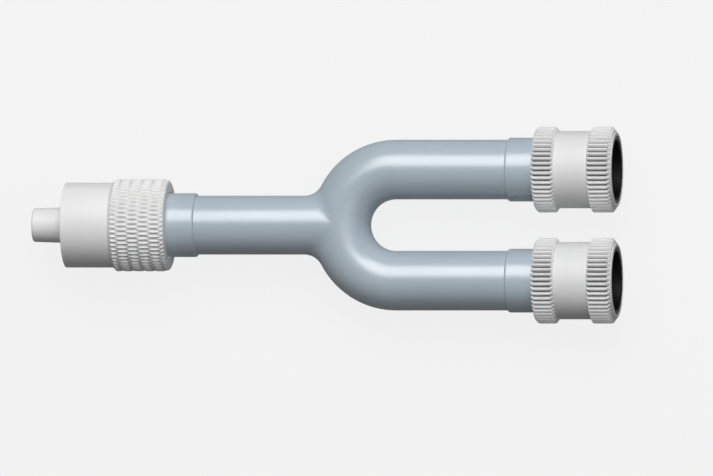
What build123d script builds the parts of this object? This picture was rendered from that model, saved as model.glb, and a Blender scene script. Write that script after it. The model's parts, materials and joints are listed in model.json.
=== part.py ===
"""A small Y connector for gas or pressure tubing, in millimetres.

A moulded blue-grey tube carries a male taper tip with a freely turning lock collar on its stem, and a
push-in socket with a ribbed grip on each of its two arms. The part lies flat, with all three bores in
the plane Z = 0. The origin is the middle of the male tip's end face, +X runs along the stem towards
the arms, +Y runs from the lower arm to the upper one, and +Z is up.
"""

from build123d import *
import math
import os

# Male taper tip, with the standard 6 % taper on its diameter.
tip_end_diameter = 4.0
tip_taper = 0.06
tip_wall = 0.55
tip_mouth_chamfer = 0.15
tip_edge_round = 0.12
tip_reach = 3.93            # how far the tip stands out of the lock collar
flange_thickness = 1.2
flange_overlap = 0.7        # how far the flange reaches over the neck
neck_step = 0.15            # how far the neck stands over the tail's barbs

# Barbed tails, bonded into the tube's ends.
tail_length = 7.0
tail_wall = 0.6
tail_barbs = 3
tail_nose = 0.5             # length of plain root behind the last barb
barb_height = 0.4
bond_gap = 0.02

# Lock collar, which turns freely on the tip piece's neck.
lock_bore = 8.2
lock_wall = 0.95
lock_depth = 6.8
collar_plain_length = 5.71
mouth_bevel_depth = 0.45
mouth_land = 0.25           # flat rim left outside the mouth's bevel
web_thickness = 1.6
spin_gap = 0.05             # radial running gap between neck and collar
spin_play = 0.1             # endwise play on each side of the collar's web
skirt_gap = 0.12            # radial gap between the tube's sleeve and the collar's skirt

# Thread inside the collar.
thread_height = 0.5
thread_lead = 5.0
thread_starts = 2
thread_crest = 0.35
thread_root = 1.0
thread_inset = 0.7          # from the collar's mouth to the first turn
thread_runout = 2.1         # plain bore left behind the last turn
thread_sink = 0.15          # how deep the ridge is rooted in the wall

# Diamond knurl round the collar's rear part.
knurl_length = 6.8
knurl_rise = 0.45           # how far the knurl stands over the plain part
knurl_flare = 0.45
knurl_depth = 0.27
knurl_around = 60
knurl_column_pitch = 1.3
knurl_rear_round = 0.5

# Moulded Y tube.
tube_wall = 1.5
tail_grip = 0.05            # how much narrower than the tails the tube's bore is, on radius
arm_swell = 0.05            # how much wider than the stem the arms are, inside and out, on radius
stem_length = 23.96         # from the stem sleeve's shoulder to the bend's centre
arm_length = 13.58          # from the bend's centre to the arm sleeve's shoulder
crotch_fillet = 2.4
sleeve_rise = 0.3           # how far a sleeve stands over the stem
sleeve_round = 0.28
stem_sleeve_shown = 3.33
arm_sleeve_shown = 3.41

# Push-in sockets in the arms' ends.
socket_bore = 7.2
socket_wall = 0.45
socket_depth = 5.05
socket_recess = 0.05        # from the grip's mouth to the socket's rim
socket_rim_chamfer = 0.1
nose_step = 0.7             # how much wider than the flow bore the nose's seat is, on radius
nose_land = 0.45            # seat left behind the ring's groove
nose_floor_wall = 0.4
ring_section = 1.0
ring_proud = 0.22           # how far the seal ring stands out into the seat
ring_side_gap = 0.075
ring_inset = 0.4            # from the socket's floor to the ring's groove

# Ribbed grips round the sockets.
grip_length = 9.7
grip_spacing = 3.02         # clear space between the two grips
waist_wall = 0.53
band_rise = 0.5             # how far the ribbed bands stand over the waist
rear_band = 2.65
front_band = 3.05
band_end_chamfer = 0.5
mouth_chamfer_length = 0.55
mouth_rim = 0.28            # flat face left round the grip's mouth
waist_chamfer = 0.24
rib_count = 52
rib_depth = 0.34
rib_land = 0.38             # share of each rib's pitch that stays at full height

# Bores and outside diameters that follow from the walls.
flow_bore = tip_end_diameter - 2 * tip_wall
tail_root = flow_bore + 2 * tail_wall
tail_barb = tail_root + 2 * barb_height
neck_diameter = tail_barb + 2 * neck_step
flange_diameter = neck_diameter + 2 * flange_overlap
tube_bore = tail_root - 2 * tail_grip
stem_diameter = tube_bore + 2 * tube_wall
arm_bore = tube_bore + 2 * arm_swell
arm_diameter = arm_bore + 2 * tube_wall
sleeve_diameter = stem_diameter + 2 * sleeve_rise
collar_diameter = lock_bore + 2 * lock_wall
knurl_diameter = collar_diameter + 2 * knurl_rise
socket_diameter = socket_bore + 2 * socket_wall
nose_bore = flow_bore + 2 * nose_step
grip_bore = socket_diameter + 2 * bond_gap
grip_rear_bore = sleeve_diameter + 2 * bond_gap
grip_waist = max(grip_bore, grip_rear_bore) + 2 * waist_wall
grip_diameter = grip_waist + 2 * band_rise
arm_offset = (grip_diameter + grip_spacing) / 2    # from the stem's axis to each arm's, and the bend's radius

# Places along X, from the tip's end.
collar_front = tip_reach
knurl_start = collar_front + collar_plain_length
collar_end = knurl_start + knurl_length
web_front = collar_front + lock_depth
web_back = web_front + web_thickness
flange_back = web_front - spin_play
cone_end = flange_back - flange_thickness
stem_face = web_back + spin_play
stem_shoulder = collar_end + stem_sleeve_shown
bend_centre = stem_shoulder + stem_length
arm_shoulder = bend_centre + arm_length
grip_start = arm_shoulder + arm_sleeve_shown
grip_end = grip_start + grip_length
socket_rim = grip_end - socket_recess
socket_floor = socket_rim - socket_depth
groove_front = socket_floor - ring_inset
groove_back = groove_front - ring_section - 2 * ring_side_gap
nose_floor = groove_back - nose_land
arm_face = nose_floor - nose_floor_wall
arm_sides = {"upper": 1, "lower": -1}


def turned(points):
    """The solid of a closed outline of (x, radius) points, turned round the X axis."""
    outline = Polyline(*[(x, radius, 0) for x, radius in points], close=True)
    return revolve(make_face(outline), axis=Axis.X)


def rod(diameter, start, end, y=0.0):
    """A round bar along X."""
    return Pos(start, y, 0) * turned([(0, 0), (0, diameter / 2), (end - start, diameter / 2), (end - start, 0)])


def on_ring(x, radius, turn):
    """A point at a place along X, a radius and a share of a full turn."""
    angle = 2 * math.pi * turn
    return Vector(x, radius * math.cos(angle), radius * math.sin(angle))


def flat_patch(a, b, c, d):
    """One or two flat faces on four corners in order; a crooked one folds along its lower diagonal."""
    if abs((b - a).cross(d - a).dot(c - a)) < 1e-9:
        return [Face(Wire.make_polygon([a, b, c, d]))]
    reach_ac = math.hypot(a.Y, a.Z) + math.hypot(c.Y, c.Z)
    reach_bd = math.hypot(b.Y, b.Z) + math.hypot(d.Y, d.Z)
    halves = [(a, b, c), (a, c, d)] if reach_ac < reach_bd else [(a, b, d), (b, c, d)]
    return [Face(Wire.make_polygon(half)) for half in halves]


def faceted(rings):
    """A closed solid through rings of points, one ring after another along X, with a flat cap at each end."""
    faces = [Face(Wire.make_polygon(ring)) for ring in (rings[0], rings[-1])]
    for near, far in zip(rings, rings[1:]):
        for k in range(len(near)):
            after = (k + 1) % len(near)
            faces += flat_patch(near[k], near[after], far[after], far[k])
    return Solid(Shell(faces))


def barbs(start, direction, grow=0.0):
    """Outline points (x, radius) of a barbed tail that starts at a shoulder and runs in a direction."""
    root = tail_root / 2 + grow
    barb = tail_barb / 2 + grow
    pitch = (tail_length - tail_nose) / (tail_barbs + 1)
    points = [(start, root), (start + direction * pitch, root)]
    for n in range(1, tail_barbs + 1):
        heel = start + direction * n * pitch
        points += [(heel, barb), (heel + direction * pitch, root)]
    return points + [(start + direction * (tail_length + grow), root)]


def knurl():
    """The collar's knurled band, on rings of points that stand high and low by turns.

    Each ring is turned by one point against the ring before, so the high points are the tips of diamonds.
    """
    high = knurl_diameter / 2
    low = high - knurl_depth
    corners = 2 * knurl_around
    first = knurl_start + knurl_flare
    last = collar_end - knurl_rear_round
    columns = max(1, round((last - first) / knurl_column_pitch + 0.5))
    pitch = (last - first) / (columns - 0.5)
    corner_drop = knurl_rear_round * (1 - math.sqrt(0.5))

    def even(x, radius):
        return [on_ring(x, radius, k / corners) for k in range(corners)]

    def by_turns(x, column, top):
        return [on_ring(x, (top, low)[(k + column) % 2], k / corners) for k in range(corners)]

    rings = [even(knurl_start, collar_diameter / 2 - bond_gap), even(first, high)]
    rings += [by_turns(first + pitch * (n + 0.5), n, high) for n in range(columns)]
    rings.append(by_turns(collar_end - corner_drop, columns, high - corner_drop))
    rings.append(even(collar_end, high - knurl_rear_round))
    return faceted(rings)


def rib_ring(x, top, floor):
    """One ring of a ribbed band: two points across each rib's land and one at the bottom of each groove."""
    points = []
    for n in range(rib_count):
        points.append(on_ring(x, top, n / rib_count))
        points.append(on_ring(x, top, (n + rib_land) / rib_count))
        points.append(on_ring(x, floor, (n + (1 + rib_land) / 2) / rib_count))
    return points


def ribbed_band(start, end, front_edge, back_edge):
    """A band of straight ribs. Each edge is (cut along X, cut across the face)."""
    top = grip_diameter / 2
    floor = top - rib_depth
    front_along, front_across = front_edge
    back_along, back_across = back_edge
    stations = [
        (start, top - front_across),
        (start + front_along, top),
        (end - back_along, top),
        (end, top - back_across),
    ]
    return faceted([rib_ring(x, radius, min(floor, radius)) for x, radius in stations])


def lock_thread():
    """The collar's inside thread, one ridge for each start, each rooted in the bore's wall."""
    wall = lock_bore / 2
    start = collar_front + thread_inset
    outline = Polyline(
        (wall + thread_sink, -thread_root / 2, 0),
        (wall - thread_height, -thread_crest / 2, 0),
        (wall - thread_height, thread_crest / 2, 0),
        (wall + thread_sink, thread_root / 2, 0),
        close=True,
    )
    length = lock_depth - thread_inset - thread_runout
    helix = Helix(pitch=thread_lead, height=length, radius=wall)
    section = Plane(origin=(0, 0, 0), x_dir=(1, 0, 0), z_dir=(0, -1, 0)) * make_face(outline)
    ridge = sweep(section, path=helix, is_frenet=True)
    upright = Pos(start, 0, 0) * Rot(0, 90, 0)
    return [upright * Rot(0, 0, n * 360 / thread_starts) * ridge for n in range(thread_starts)]


def luer_collar():
    """The lock collar: plain in front, knurled behind, bored from both ends up to a thin web."""
    body = rod(collar_diameter, collar_front, collar_end - knurl_length / 2) + knurl()
    bore = lock_bore / 2
    eye = neck_diameter / 2 + spin_gap
    skirt = sleeve_diameter / 2 + skirt_gap
    body -= turned([
        (collar_front, 0),
        (collar_front, collar_diameter / 2 - mouth_land),
        (collar_front + mouth_bevel_depth, bore),
        (web_front, bore),
        (web_front, eye),
        (web_back, eye),
        (web_back, skirt),
        (collar_end, skirt),
        (collar_end, 0),
    ])
    for ridge in lock_thread():
        body += ridge
    return body


def luer_tip():
    """The male taper tip with its flange, neck and barbed tail, bored through."""
    end = tip_end_diameter / 2
    cone = end + tip_taper / 2 * cone_end
    bore = flow_bore / 2
    tail = barbs(stem_face, 1)
    return turned([
        (0, bore + tip_mouth_chamfer),
        (0, end - tip_edge_round),
        (tip_edge_round, end),
        (cone_end, cone),
        (cone_end, flange_diameter / 2),
        (flange_back, flange_diameter / 2),
        (flange_back, neck_diameter / 2),
        (stem_face, neck_diameter / 2),
        *tail,
        (tail[-1][0], bore),
        (tip_mouth_chamfer, bore),
    ])


def bend(diameter):
    """The half ring that joins the two arms. Its section starts on the bend's outer side, where the stem is."""
    section = Plane(origin=(bend_centre, arm_offset, 0), x_dir=(0, 1, 0), z_dir=(1, 0, 0))
    return revolve(
        section * Circle(diameter / 2), axis=Axis((bend_centre, 0, 0), (0, 0, 1)), revolution_arc=180
    )


def sleeve(start, end, shoulder_first):
    """The thicker end of the tube, rounded at the shoulder where it meets the thinner tube."""
    bar = rod(sleeve_diameter, start, end)
    edge = bar.edges().filter_by(GeomType.CIRCLE).sort_by(Axis.X)[0 if shoulder_first else -1]
    return fillet(edge, sleeve_round)


def tail_seat(face, direction, y=0.0):
    """The space that a barbed tail takes in the tube, from the tube's end face inwards."""
    points = barbs(face, direction, bond_gap)
    return Pos(0, y, 0) * turned([(face, 0), *points, (points[-1][0], 0)])


def y_tube():
    """The moulded tube: stem, half-ring bend and two arms, with a fillet where the stem runs in."""
    inside_bend = bend_centre - arm_offset
    body = bend(arm_diameter) + rod(stem_diameter, stem_face, inside_bend)
    meeting = [
        edge
        for edge in body.edges()
        if stem_shoulder < edge.center().X < inside_bend and edge.bounding_box().size.Y > stem_diameter / 2
    ]
    body = fillet(meeting, crotch_fillet)
    body += sleeve(stem_face, stem_shoulder, shoulder_first=False)
    hollows = [bend(arm_bore), rod(tube_bore, stem_face, inside_bend), tail_seat(stem_face, 1)]
    for side in arm_sides.values():
        y = side * arm_offset
        body += rod(arm_diameter, bend_centre, arm_face, y)
        body += Pos(0, y, 0) * sleeve(arm_shoulder, arm_face, shoulder_first=True)
        hollows += [rod(arm_bore, bend_centre, arm_face, y), tail_seat(arm_face, -1, y)]
    for hollow in hollows:
        body -= hollow
    return body


def socket():
    """The push-in socket of one arm, on the X axis, with its barbed tail."""
    bore = flow_bore / 2
    cup = socket_bore / 2
    nose = nose_bore / 2
    groove = nose + ring_section - ring_proud + bond_gap
    tail = barbs(arm_face, -1)
    return turned([
        (socket_rim, cup + socket_rim_chamfer),
        (socket_rim - socket_rim_chamfer, cup),
        (socket_floor, cup),
        (socket_floor, nose),
        (groove_front, nose),
        (groove_front, groove),
        (groove_back, groove),
        (groove_back, nose),
        (nose_floor, nose),
        (nose_floor, bore),
        (tail[-1][0], bore),
        *reversed(tail),
        (arm_face, socket_diameter / 2),
        (socket_rim, socket_diameter / 2),
    ])


def seal_ring():
    """The round-section seal in the socket's groove, on the X axis."""
    radius = nose_bore / 2 - ring_proud + ring_section / 2
    section = Pos((groove_front + groove_back) / 2, radius, 0) * Circle(ring_section / 2)
    return revolve(section, axis=Axis.X)


def grip():
    """The ribbed grip of one arm, on the X axis: two ribbed bands with a plain waist between them."""
    rear_end = grip_start + rear_band
    front_start = grip_end - front_band
    end_edge = (band_end_chamfer, band_end_chamfer)
    waist_edge = (waist_chamfer, band_rise)
    mouth_edge = (mouth_chamfer_length, (grip_diameter - grip_bore) / 2 - mouth_rim)
    body = rod(grip_waist, rear_end - waist_chamfer, front_start + waist_chamfer)
    body += ribbed_band(grip_start, rear_end, end_edge, waist_edge)
    body += ribbed_band(front_start, grip_end, waist_edge, mouth_edge)
    body -= rod(grip_rear_bore, grip_start, arm_face)
    body -= rod(grip_bore, arm_face, grip_end)
    return body


def main():
    """Writes one STEP file for each piece."""
    os.makedirs("parts", exist_ok=True)
    pieces = {
        "luer_tip": luer_tip(),
        "luer_collar": luer_collar(),
        "y_tube": y_tube(),
    }
    for name, side in arm_sides.items():
        place = Pos(0, side * arm_offset, 0)
        pieces[name + "_socket"] = place * socket()
        pieces[name + "_seal_ring"] = place * seal_ring()
        pieces[name + "_grip"] = place * grip()
    for name, piece in pieces.items():
        export_step(piece, f"parts/{name}.step")


main()
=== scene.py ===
"""The looks of a small Y connector for gas or pressure tubing.

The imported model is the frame. The knurled lock collar and the two ribbed grips get finer moulded surfaces,
and every piece gets its own plastic or rubber. Lengths are in metres, and angles in degrees.
"""

import json
import math
import bpy
import numpy as np
from mathutils import Matrix, Vector

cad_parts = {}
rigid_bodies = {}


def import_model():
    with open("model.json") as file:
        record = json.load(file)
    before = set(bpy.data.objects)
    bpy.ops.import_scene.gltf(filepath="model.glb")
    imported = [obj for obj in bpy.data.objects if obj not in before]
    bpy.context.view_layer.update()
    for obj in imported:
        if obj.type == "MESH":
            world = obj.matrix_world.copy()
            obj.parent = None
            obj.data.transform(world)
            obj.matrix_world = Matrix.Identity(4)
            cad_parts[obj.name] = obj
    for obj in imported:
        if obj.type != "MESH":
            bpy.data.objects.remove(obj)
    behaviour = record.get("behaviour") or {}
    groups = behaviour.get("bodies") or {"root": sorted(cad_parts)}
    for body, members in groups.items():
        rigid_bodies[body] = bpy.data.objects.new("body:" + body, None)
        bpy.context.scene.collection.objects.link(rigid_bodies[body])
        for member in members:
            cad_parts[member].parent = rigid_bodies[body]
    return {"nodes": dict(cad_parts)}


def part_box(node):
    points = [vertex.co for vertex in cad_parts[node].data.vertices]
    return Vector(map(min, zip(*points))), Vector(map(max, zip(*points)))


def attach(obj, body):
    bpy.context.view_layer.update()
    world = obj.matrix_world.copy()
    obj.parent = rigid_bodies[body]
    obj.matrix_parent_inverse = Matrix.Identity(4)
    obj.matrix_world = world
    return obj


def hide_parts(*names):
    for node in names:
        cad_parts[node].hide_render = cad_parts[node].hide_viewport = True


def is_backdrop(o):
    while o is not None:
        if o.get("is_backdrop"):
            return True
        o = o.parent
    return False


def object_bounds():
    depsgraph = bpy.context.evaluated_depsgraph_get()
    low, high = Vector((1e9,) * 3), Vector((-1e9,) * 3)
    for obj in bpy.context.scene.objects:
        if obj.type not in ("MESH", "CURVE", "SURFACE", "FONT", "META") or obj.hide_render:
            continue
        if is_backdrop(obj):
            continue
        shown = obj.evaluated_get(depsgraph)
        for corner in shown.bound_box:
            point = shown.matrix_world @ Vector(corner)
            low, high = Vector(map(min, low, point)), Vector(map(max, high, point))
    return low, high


MM = 0.001

# The photograph's frame, and the camera that looks down on the part from a little to its right.
image_width = 713
image_height = 476
pixels_per_mm = 8.4
camera_yaw = 9.5
camera_distance = 0.5
stem_axis_pixel = 225.15            # the row of the stem's axis, from the top
bend_centre_pixel = 396.2           # the column of the bend's centre, from the left
bend_centre_x = 43.73 * MM

# Lamps. A tilt is from straight above towards +Y, and a yaw from there towards +X.
# A level is how bright a white surface is that faces the lamp.
lamp_distance = 0.6
key_tilt = 36
key_yaw = 0
key_size = 0.46
key_level = 0.48
open_key_level = 0.48               # the part of the key that throws no shadow
open_key_distance = 0.65            # further off, because lamps in one place hide each other in reflections
fill_tilt = 2
fill_yaw = 30
fill_size = 0.5
fill_level = 0.20

# Floor, walls and the light from all round.
ambient_level = 0.03
background_grey = 0.88
room_in_gloss = 0.2                 # how bright the pale floor and walls are where the part mirrors them
floor_size = 3.0
floor_bounce = 0.28                 # how bright the floor is to the light that it throws back on the part
floor_glow = 0.918
floor_shade_share = 0.12            # share of the floor's look that takes the part's shadow

# Lock collar.
lock_bore_radius = 4.1 * MM
collar_radius = 5.05 * MM
neck_eye_radius = 2.65 * MM
skirt_radius = 3.92 * MM
collar_plain_length = 5.71 * MM
lock_depth = 6.8 * MM
web_thickness = 1.6 * MM
mouth_bevel_depth = 0.45 * MM
mouth_land = 0.25 * MM
mouth_land_start = 0.5              # where on the land the outline starts, as a share of its width
mouth_land_finish = 0.6             # and where it ends
collar_edge_round = 0.06 * MM
knurl_flare = 0.45 * MM
knurl_rear_round = 0.5 * MM
knurl_rear_drop = 0.3               # how much the rear round takes off at its middle, as a share of it
knurl_depth = 0.26 * MM
knurl_around = 60
knurl_column_pitch = 1.3 * MM
knurl_groove_half = 0.42            # half the width of a groove, as a share of the grooves' pitch
knurl_fade = 0.25 * MM              # over which the grooves run out at the knurl's ends
knurl_row_step = 0.10 * MM
collar_points_around = 600

# Thread inside the lock collar.
thread_height = 0.5 * MM
thread_lead = 5.0 * MM
thread_starts = 2
thread_crest = 0.35 * MM
thread_root = 1.0 * MM
thread_inset = 0.7 * MM
thread_runout = 2.1 * MM
thread_row_step = 0.2 * MM

# Ribbed grips.
grip_bore_radius = 4.07 * MM
grip_rear_bore_radius = 3.82 * MM
grip_rear_bore_length = 2.2 * MM
rear_face_start = 0.2 * MM          # how far outside the rear bore the outline starts, on the flat rear face
rear_face_finish = 0.1 * MM         # and how far outside it the outline ends
grip_waist_radius = 4.6 * MM
rear_band = 2.65 * MM
front_band = 3.05 * MM
band_end_chamfer = 0.32 * MM
rear_waist_chamfer = 0.34 * MM
front_waist_chamfer = 0.24 * MM
mouth_chamfer_length = 0.55 * MM
mouth_line_share = 0.54             # how far down the mouth's chamfer the fine line round it starts
mouth_line_width = 0.22             # as a share of the chamfer
mouth_line_depth = 0.13 * MM
mouth_rim = 0.28 * MM
grip_edge_round = 0.05 * MM
rib_count = 52
rib_depth = 0.42 * MM
rib_land = 0.30                     # share of each rib's pitch that stays at full height
rib_groove_floor = 0.10             # share of each rib's pitch that lies at the groove's bottom
rib_turn = 0.27                     # how far the ribs are turned back, as a share of their pitch
points_across_rib = 20

# Meshes.
round_steps = 4                     # straight pieces in the arc at a rounded corner
runs_per_round = 2.2                # an arc takes no more of a run beside it than the run's length over this
sharp_angle = 50                    # faces that meet at more than this have a hard edge between them
hair = 1e-7                         # places nearer than this are the same

# Painted shade: the colour is made darker down in the knurl's and the ribs' grooves, where shade falls.
knurl_painted_shade_start = 0.0
knurl_painted_shade_end = 0.24 * MM
knurl_painted_shade = 0.76                  # how much of the colour is left at the bottom
rib_painted_shade_start = 0.18 * MM
rib_painted_shade_end = 0.42 * MM
rib_painted_shade = 0.12

# Clouds in the colour of the plastics, patches in their gloss, and the grain of their moulds.
# A start and an end are the levels of the noise between which the one look turns into the other.
cloud_size = 4 * MM
cloud_detail = 4.0
cloud_start = 0.35
cloud_end = 0.65
patch_size = 1.5 * MM
patch_detail = 5.0
patch_start = 0.3
patch_end = 0.7
grain_detail = 2.0
grain_strength = 0.35

# The greys of the light plastic, in its dark and its light clouds. The collar's greys are painted lighter
# than the grips' to stand in for the brighter light that falls on the collar, though it is the same plastic.
collar_dark = 0.835
collar_light = 0.86
grip_dark = 0.765
grip_light = 0.79


def smooth_step(low, high, value):
    """0 below low, 1 above high, with a soft run between them."""
    share = np.clip((value - low) / (high - low), 0.0, 1.0)
    return share * share * (3 - 2 * share)


def rounded(points, radius):
    """An open outline of (x, radius) points with each inner corner turned into a small arc."""
    path = [points[0]]
    for before, corner, after in zip(points, points[1:], points[2:]):
        corner_at = Vector(corner)
        towards = Vector(before) - corner_at
        away = Vector(after) - corner_at
        reach = min(radius, towards.length / runs_per_round, away.length / runs_per_round)
        start = corner_at + towards.normalized() * reach
        end = corner_at + away.normalized() * reach
        for n in range(round_steps + 1):
            t = n / round_steps
            path.append(tuple(start * (1 - t) ** 2 + corner_at * 2 * t * (1 - t) + end * t ** 2))
    return path + [points[-1]]


def divided(points, step, start, end, inner, outer):
    """The same outline, with points no further apart than a step along X in one range of X and radius."""
    path = [points[0]]
    for near, far in zip(points, points[1:]):
        low_x, high_x = sorted((near[0], far[0]))
        low_radius, high_radius = sorted((near[1], far[1]))
        inside = low_x > start - hair and high_x < end + hair
        inside = inside and low_radius > inner - hair and high_radius < outer + hair
        parts = max(1, math.ceil((high_x - low_x) / step)) if inside else 1
        for n in range(1, parts + 1):
            t = n / parts
            path.append((near[0] + (far[0] - near[0]) * t, near[1] + (far[1] - near[1]) * t))
    return path


def turned_mesh(name, outline, around, relief, y=0.0):
    """A closed ring of quads: an outline of (x, radius), turned round an axis along X, with a relief.

    The relief takes arrays of places along X, radii and angles, and gives what is added to the radius.
    """
    points = np.array(outline)
    angles = np.arange(around) * 2 * math.pi / around
    x, angle = np.meshgrid(points[:, 0], angles, indexing="ij")
    radius = np.repeat(points[:, 1:2], around, axis=1)
    added = relief(x, radius, angle)
    radius = radius + added
    coords = np.stack([x, y + radius * np.cos(angle), radius * np.sin(angle)], axis=-1).reshape(-1, 3)
    rings = len(points)
    ring, step = np.meshgrid(np.arange(rings) * around, np.arange(around), indexing="ij")
    next_ring = (ring + around) % (rings * around)
    next_step = (step + 1) % around
    corners = [ring + step, ring + next_step, next_ring + next_step, next_ring + step]
    faces = np.stack(corners, axis=-1).reshape(-1, 4)
    mesh = bpy.data.meshes.new(name)
    mesh.from_pydata(coords.tolist(), [], faces.tolist())
    depth = mesh.attributes.new("groove_depth", "FLOAT", "POINT")
    depth.data.foreach_set("value", np.maximum(-added, 0.0).ravel())
    mesh.shade_smooth()
    mesh.set_sharp_from_angle(angle=math.radians(sharp_angle))
    piece = bpy.data.objects.new(name, mesh)
    bpy.context.scene.collection.objects.link(piece)
    return piece


def groove(share, half_width):
    """How deep a rounded V groove is, from 0 to 1. There is a groove at each whole number of pitches."""
    off_centre = np.abs(share - np.round(share)) / half_width
    return smooth_step(0.0, 1.0, 1 - off_centre)


def collar_relief(front, knurl_start, end):
    """The diamond knurl outside the lock collar and the thread inside it."""
    knurl_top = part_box("luer_collar")[1].z
    bore_end = front + lock_depth
    thread_start = front + thread_inset
    thread_end = bore_end - thread_runout

    def knurl(x, radius, angle):
        along = (x - knurl_start - knurl_flare) / (2 * knurl_column_pitch)
        turn = angle * knurl_around / (2 * math.pi)
        crossing = (groove(along + turn, knurl_groove_half) + groove(along - turn, knurl_groove_half)) / 2
        ends = smooth_step(knurl_start + knurl_flare - knurl_fade, knurl_start + knurl_flare + knurl_fade, x)
        ends = ends * (1 - smooth_step(end - knurl_fade, end, x))
        outside = smooth_step(collar_radius, knurl_top - knurl_depth / 2, radius)
        return -knurl_depth * crossing * ends * outside

    def thread(x, radius, angle):
        pitch = thread_lead / thread_starts
        share = (x - thread_start) / pitch - angle * thread_starts / (2 * math.pi)
        off_centre = np.abs(share - np.round(share)) * pitch
        ridge = np.clip((thread_root / 2 - off_centre) / ((thread_root - thread_crest) / 2), 0.0, 1.0)
        ends = smooth_step(thread_start - thread_root / 2, thread_start + thread_root / 2, x)
        ends = ends * (1 - smooth_step(thread_end - thread_root / 2, thread_end + thread_root / 2, x))
        on_bore = (np.abs(radius - lock_bore_radius) < hair) & (x < bore_end - hair)
        return -thread_height * ridge * ends * on_bore

    return lambda x, radius, angle: knurl(x, radius, angle) + thread(x, radius, angle)


def collar():
    """The lock collar: plain in front, with a diamond knurl behind and a thread inside."""
    low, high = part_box("luer_collar")
    front, end, top = low.x, high.x, high.z
    knurl_start = front + collar_plain_length
    web_front = front + lock_depth
    web_back = web_front + web_thickness
    rear_drop = knurl_rear_round * knurl_rear_drop
    outside = [
        (front, collar_radius - mouth_land * mouth_land_start),
        (front, collar_radius),
        (knurl_start, collar_radius),
        (knurl_start + knurl_flare, top),
        (end - knurl_rear_round, top),
        (end - rear_drop, top - rear_drop),
        (end, top - knurl_rear_round),
        (end, skirt_radius),
        (web_back, skirt_radius),
        (web_back, neck_eye_radius),
        (web_front, neck_eye_radius),
        (web_front, lock_bore_radius),
        (front + mouth_bevel_depth, lock_bore_radius),
        (front, collar_radius - mouth_land),
        (front, collar_radius - mouth_land * mouth_land_finish),
    ]
    outline = rounded(outside, collar_edge_round)
    outline = divided(outline, knurl_row_step, knurl_start, end, collar_radius, top)
    outline = divided(outline, thread_row_step, front, web_front, lock_bore_radius, lock_bore_radius)
    relief = collar_relief(front, knurl_start, end)
    return turned_mesh("lock_collar_moulding", outline, collar_points_around, relief)


def rib_relief(top):
    """Straight ribs with flat lands. Their grooves run out where a band's edge is cut below their floor."""
    floor_radius = top - rib_depth

    def relief(x, radius, angle):
        share = angle * rib_count / (2 * math.pi) + rib_turn
        off_land = np.abs(share - np.round(share)) * 2
        depth = np.clip((off_land - rib_land) / (1 - rib_land - rib_groove_floor), 0.0, 1.0)
        return -np.maximum(radius - floor_radius, 0.0) * depth

    return relief


def grip(node):
    """One ribbed grip: two bands of ribs with a plain waist between them, open from end to end."""
    low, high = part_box(node)
    start, end, top = low.x, high.x, high.z
    rear_end = start + rear_band
    front_start = end - front_band

    def down_chamfer(share, depth):
        """A point that lies a share of the way down the mouth's chamfer, and a depth below it."""
        x = end - mouth_chamfer_length * (1 - share)
        return x, top + (grip_bore_radius + mouth_rim - top) * share - depth

    outside = [
        (start, grip_rear_bore_radius + rear_face_start),
        (start, top - band_end_chamfer),
        (start + band_end_chamfer, top),
        (rear_end - rear_waist_chamfer, top),
        (rear_end, grip_waist_radius),
        (front_start, grip_waist_radius),
        (front_start + front_waist_chamfer, top),
        (end - mouth_chamfer_length, top),
        down_chamfer(mouth_line_share, 0.0),
        down_chamfer(mouth_line_share + mouth_line_width / 2, mouth_line_depth),
        down_chamfer(mouth_line_share + mouth_line_width, 0.0),
        (end, grip_bore_radius + mouth_rim),
        (end, grip_bore_radius),
        (start + grip_rear_bore_length, grip_bore_radius),
        (start + grip_rear_bore_length, grip_rear_bore_radius),
        (start, grip_rear_bore_radius),
        (start, grip_rear_bore_radius + rear_face_finish),
    ]
    outline = rounded(outside, grip_edge_round)
    points_around = rib_count * points_across_rib
    axis_y = (low.y + high.y) / 2
    return turned_mesh(node + "_moulding", outline, points_around, rib_relief(top), axis_y)


class Nodes:
    """The node tree of a material or a world, with short calls to add a node and to join two sockets."""

    def __init__(self, owner):
        self.owner = owner
        owner.use_nodes = True
        self.tree = owner.node_tree
        self.tree.nodes.clear()

    def add(self, kind, settings=None, values=None):
        node = self.tree.nodes.new(kind)
        for key, value in (settings or {}).items():
            setattr(node, key, value)
        for key, value in (values or {}).items():
            node.inputs[key].default_value = value
        return node

    def join(self, out_socket, in_socket):
        self.tree.links.new(out_socket, in_socket)


def grey(level):
    """The same level of red, green and blue."""
    return (level, level, level)


def noise(nodes, size, detail, stretch=(1, 1, 1)):
    """Soft noise on the part itself, so that it rides with its piece. Its grains are about a size across."""
    where = nodes.add("ShaderNodeTexCoord")
    mapping = nodes.add("ShaderNodeMapping", values={"Scale": stretch})
    nodes.join(where.outputs["Object"], mapping.inputs["Vector"])
    texture = nodes.add("ShaderNodeTexNoise", values={"Scale": 1 / size, "Detail": detail})
    nodes.join(mapping.outputs["Vector"], texture.inputs["Vector"])
    return texture.outputs["Fac"]


def ramp(nodes, factor, low_at, low, high_at, high):
    """Turns a factor into a colour between two colours."""
    node = nodes.add("ShaderNodeValToRGB")
    node.color_ramp.elements[0].position = low_at
    node.color_ramp.elements[0].color = (*low, 1)
    node.color_ramp.elements[1].position = high_at
    node.color_ramp.elements[1].color = (*high, 1)
    nodes.join(factor, node.inputs["Fac"])
    return node.outputs["Color"]


def spread(nodes, factor, low, high):
    """Turns the noise of the patches into a number between two limits."""
    limits = {"From Min": patch_start, "From Max": patch_end, "To Min": low, "To Max": high}
    node = nodes.add("ShaderNodeMapRange", values=limits)
    nodes.join(factor, node.inputs["Value"])
    return node.outputs["Result"]


def bump(nodes, height, depth, strength):
    """A bump of a real depth."""
    node = nodes.add("ShaderNodeBump", values={"Strength": strength, "Distance": depth})
    nodes.join(height, node.inputs["Height"])
    return node.outputs["Normal"]


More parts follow.
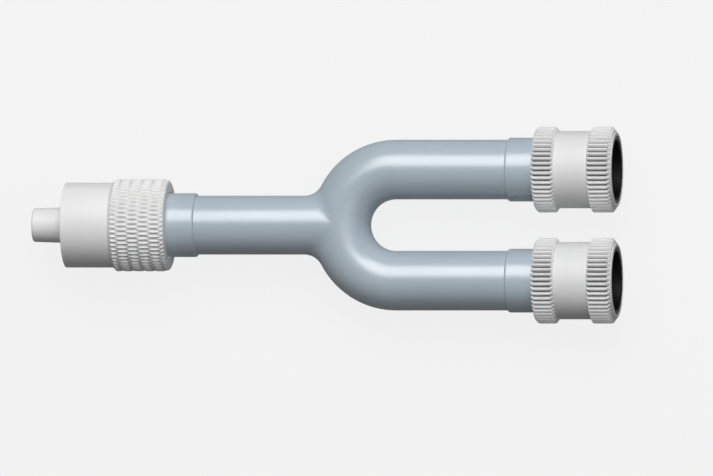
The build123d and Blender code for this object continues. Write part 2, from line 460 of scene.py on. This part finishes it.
def painted_groove_shade(nodes, colour, start, end, left):
    """Painted shade: the same colour, darker from one depth to another in the grooves, where only a share of
    it is left.
    """
    depth = nodes.add("ShaderNodeAttribute", {"attribute_name": "groove_depth"})
    limits = {"From Min": start, "From Max": end, "To Min": 1.0, "To Max": left}
    shade = nodes.add("ShaderNodeMapRange", {"interpolation_type": "SMOOTHSTEP"}, limits)
    nodes.join(depth.outputs["Fac"], shade.inputs["Value"])
    mix = nodes.add("ShaderNodeVectorMath", {"operation": "SCALE"})
    nodes.join(colour, mix.inputs[0])
    nodes.join(shade.outputs["Result"], mix.inputs["Scale"])
    return mix.outputs[0]


def plastic(name, dark, light, roughness, grain, grain_depth, ior, stretch=(1, 1, 1), shade=None):
    """Moulded plastic or rubber: a cloudy colour, uneven gloss and the fine grain of its mould, with shade
    painted into the grooves where one is given.
    """
    nodes = Nodes(bpy.data.materials.new(name))
    shader = nodes.add("ShaderNodeBsdfPrincipled", values={"IOR": ior})
    out = nodes.add("ShaderNodeOutputMaterial")
    nodes.join(shader.outputs["BSDF"], out.inputs["Surface"])
    clouds = noise(nodes, cloud_size, cloud_detail, stretch)
    colour = ramp(nodes, clouds, cloud_start, dark, cloud_end, light)
    # painted shade in the grooves, where one is given
    if shade:
        colour = painted_groove_shade(nodes, colour, *shade)
    nodes.join(colour, shader.inputs["Base Color"])
    patches = noise(nodes, patch_size, patch_detail, stretch)
    nodes.join(spread(nodes, patches, *roughness), shader.inputs["Roughness"])
    fine = bump(nodes, noise(nodes, grain, grain_detail), grain_depth, grain_strength)
    nodes.join(fine, shader.inputs["Normal"])
    return nodes.owner


def light_grey_plastic(name, dark, light, shade):
    """The satin plastic of the collar, the tip and the grips, with shade painted into its grooves."""
    return plastic(
        name,
        dark=grey(dark),
        light=grey(light),
        roughness=(0.44, 0.50),
        grain=0.10 * MM,
        grain_depth=0.004 * MM,
        ior=1.42,
        shade=shade,
    )


def blue_grey_tube():
    """The glossy moulding of the Y tube, whose clouds run along its length."""
    return plastic(
        "blue_grey_tube_looks",
        dark=(0.43, 0.512, 0.572),
        light=(0.455, 0.537, 0.602),
        roughness=(0.28, 0.32),
        grain=0.16 * MM,
        grain_depth=0.0015 * MM,
        ior=1.80,
        stretch=(0.3, 1, 1),
    )


def black_plastic():
    """The dark plastic of the sockets."""
    return plastic(
        "black_plastic_looks",
        dark=grey(0.003),
        light=grey(0.006),
        roughness=(0.34, 0.42),
        grain=0.12 * MM,
        grain_depth=0.003 * MM,
        ior=1.35,
    )


def black_rubber():
    """The dull rubber of the seal rings."""
    return plastic(
        "black_rubber_looks",
        dark=grey(0.014),
        light=(0.022, 0.022, 0.021),
        roughness=(0.5, 0.6),
        grain=0.06 * MM,
        grain_depth=0.005 * MM,
        ior=1.5,
    )


def dress(piece, material):
    """Gives a piece one material in every slot."""
    if not piece.data.materials:
        piece.data.materials.append(material)
    for slot in piece.material_slots:
        slot.material = material


def combined(nodes, operation, first, second):
    """One number out of two: the first a socket, and the second a socket or a plain number."""
    node = nodes.add("ShaderNodeMath", {"operation": operation})
    nodes.join(first, node.inputs[0])
    if isinstance(second, (int, float)):
        node.inputs[1].default_value = second
    else:
        nodes.join(second, node.inputs[1])
    return node.outputs[0]


def seen_shares(nodes):
    """How pale the floor and walls are, and whether it is the camera that sees them.

    They are fully pale to the camera, less so where the part mirrors them, and not to other light.
    """
    path = nodes.add("ShaderNodeLightPath")
    direct = path.outputs["Is Camera Ray"]
    mirrored = combined(nodes, "MAXIMUM", path.outputs["Is Glossy Ray"], path.outputs["Is Transmission Ray"])
    dimmed = combined(nodes, "MULTIPLY", mirrored, room_in_gloss)
    return combined(nodes, "MAXIMUM", direct, dimmed), direct


def floor():
    """A plain pale floor, just under the part."""
    half = floor_size / 2
    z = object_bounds()[0].z
    corners = [(-half, -half, z), (half, -half, z), (half, half, z), (-half, half, z)]
    mesh = bpy.data.meshes.new("floor")
    mesh.from_pydata(corners, [], [(0, 1, 2, 3)])
    plane = bpy.data.objects.new("floor", mesh)
    bpy.context.scene.collection.objects.link(plane)
    plane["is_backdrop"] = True
    nodes = Nodes(bpy.data.materials.new("floor_looks"))
    matte = nodes.add("ShaderNodeBsdfDiffuse")
    glow = nodes.add("ShaderNodeEmission", values={"Color": (*grey(floor_glow), 1)})
    mix = nodes.add("ShaderNodeMixShader")
    out = nodes.add("ShaderNodeOutputMaterial")
    seen, direct = seen_shares(nodes)
    tone = ramp(nodes, seen, 0.0, grey(floor_bounce), 1.0, grey(background_grey))
    nodes.join(tone, matte.inputs["Color"])
    nodes.join(combined(nodes, "MULTIPLY", direct, 1 - floor_shade_share), mix.inputs["Fac"])
    nodes.join(matte.outputs[0], mix.inputs[1])
    nodes.join(glow.outputs[0], mix.inputs[2])
    nodes.join(mix.outputs[0], out.inputs["Surface"])
    dress(plane, nodes.owner)


def world():
    """Even light from all round, pale where the camera sees it."""
    room = bpy.data.worlds.new("plain_room")
    bpy.context.scene.world = room
    nodes = Nodes(room)
    out = nodes.add("ShaderNodeOutputWorld")
    soft = nodes.add("ShaderNodeBackground", values={"Color": (*grey(1), 1), "Strength": ambient_level})
    pale = nodes.add("ShaderNodeBackground", values={"Color": (*grey(background_grey), 1)})
    mix = nodes.add("ShaderNodeMixShader")
    seen, _ = seen_shares(nodes)
    nodes.join(seen, mix.inputs["Fac"])
    nodes.join(soft.outputs[0], mix.inputs[1])
    nodes.join(pale.outputs[0], mix.inputs[2])
    nodes.join(mix.outputs[0], out.inputs["Surface"])


def softbox(name, centre, distance, tilt, yaw, size, level, shadow=True):
    """A square lamp that faces the part, with two of its sides as nearly along X as they go."""
    tilt = math.radians(tilt)
    yaw = math.radians(yaw)
    direction = Vector((math.sin(yaw) * math.cos(tilt), math.sin(tilt), math.cos(yaw) * math.cos(tilt)))
    lamp = bpy.data.lights.new(name, "AREA")
    lamp.shape = "SQUARE"
    lamp.size = size
    lamp.energy = level * (math.pi * distance) ** 2
    lamp.use_shadow = shadow
    light = bpy.data.objects.new(name, lamp)
    light.location = centre + direction * distance
    across = (Vector((1, 0, 0)) - direction * direction.x).normalized()
    upward = direction.cross(across)
    light.rotation_mode = "QUATERNION"
    light.rotation_quaternion = Matrix((across, upward, direction)).transposed().to_quaternion()
    bpy.context.scene.collection.objects.link(light)


def lights(middle):
    """A key light of two parts, one of which throws no shadow, and a fill light from the right."""
    softbox("key_softbox", middle, lamp_distance, key_tilt, key_yaw, key_size, key_level)
    softbox("open_key_softbox", middle, open_key_distance, key_tilt, key_yaw, key_size, open_key_level, False)
    softbox("fill_softbox", middle, lamp_distance, fill_tilt, fill_yaw, fill_size, fill_level)


def camera():
    """The photograph's view, square on to the part's length but from a little to the right."""
    yaw = math.radians(camera_yaw)
    backward = Vector((math.sin(yaw), 0, math.cos(yaw)))
    past_bend = (image_width / 2 - bend_centre_pixel) / pixels_per_mm * MM
    x = bend_centre_x + past_bend / math.cos(yaw)
    y = (stem_axis_pixel - image_height / 2) / pixels_per_mm * MM
    data = bpy.data.cameras.new("photo_camera")
    data.type = "ORTHO"
    data.ortho_scale = image_width / pixels_per_mm * MM
    seen_from = bpy.data.objects.new("photo_camera", data)
    seen_from.location = Vector((x, y, 0)) + backward * camera_distance
    seen_from.rotation_euler = (0, yaw, 0)
    bpy.context.scene.collection.objects.link(seen_from)
    bpy.context.scene.camera = seen_from


def clear_scene():
    """Takes away what a new file holds."""
    for thing in list(bpy.data.objects):
        bpy.data.objects.remove(thing)


clear_scene()
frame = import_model()
cad_low, cad_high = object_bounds()
bpy.context.scene.view_settings.view_transform = "Standard"

world()
camera()
lights((cad_low + cad_high) / 2)
floor()

# Painted shade in the grooves of the collar's knurl and the grips' ribs.
collar_painted_shade = (knurl_painted_shade_start, knurl_painted_shade_end, knurl_painted_shade)
grip_painted_shade = (rib_painted_shade_start, rib_painted_shade_end, rib_painted_shade)
# Two greys of one plastic: the collar's is painted lighter, for the brighter light on it.
collar_grey = light_grey_plastic("collar_grey_looks", collar_dark, collar_light, collar_painted_shade)
grip_grey = light_grey_plastic("grip_grey_looks", grip_dark, grip_light, grip_painted_shade)
blue = blue_grey_tube()
black = black_plastic()
rubber = black_rubber()

collar_piece = collar()
dress(collar_piece, collar_grey)
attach(collar_piece, "lock_collar")
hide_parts("luer_collar")

for side in ("upper", "lower"):
    grip_piece = grip(side + "_grip")
    dress(grip_piece, grip_grey)
    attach(grip_piece, "tube_body")
    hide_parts(side + "_grip")
    dress(frame["nodes"][side + "_socket"], black)
    dress(frame["nodes"][side + "_seal_ring"], rubber)

dress(frame["nodes"]["y_tube"], blue)
dress(frame["nodes"]["luer_tip"], collar_grey)
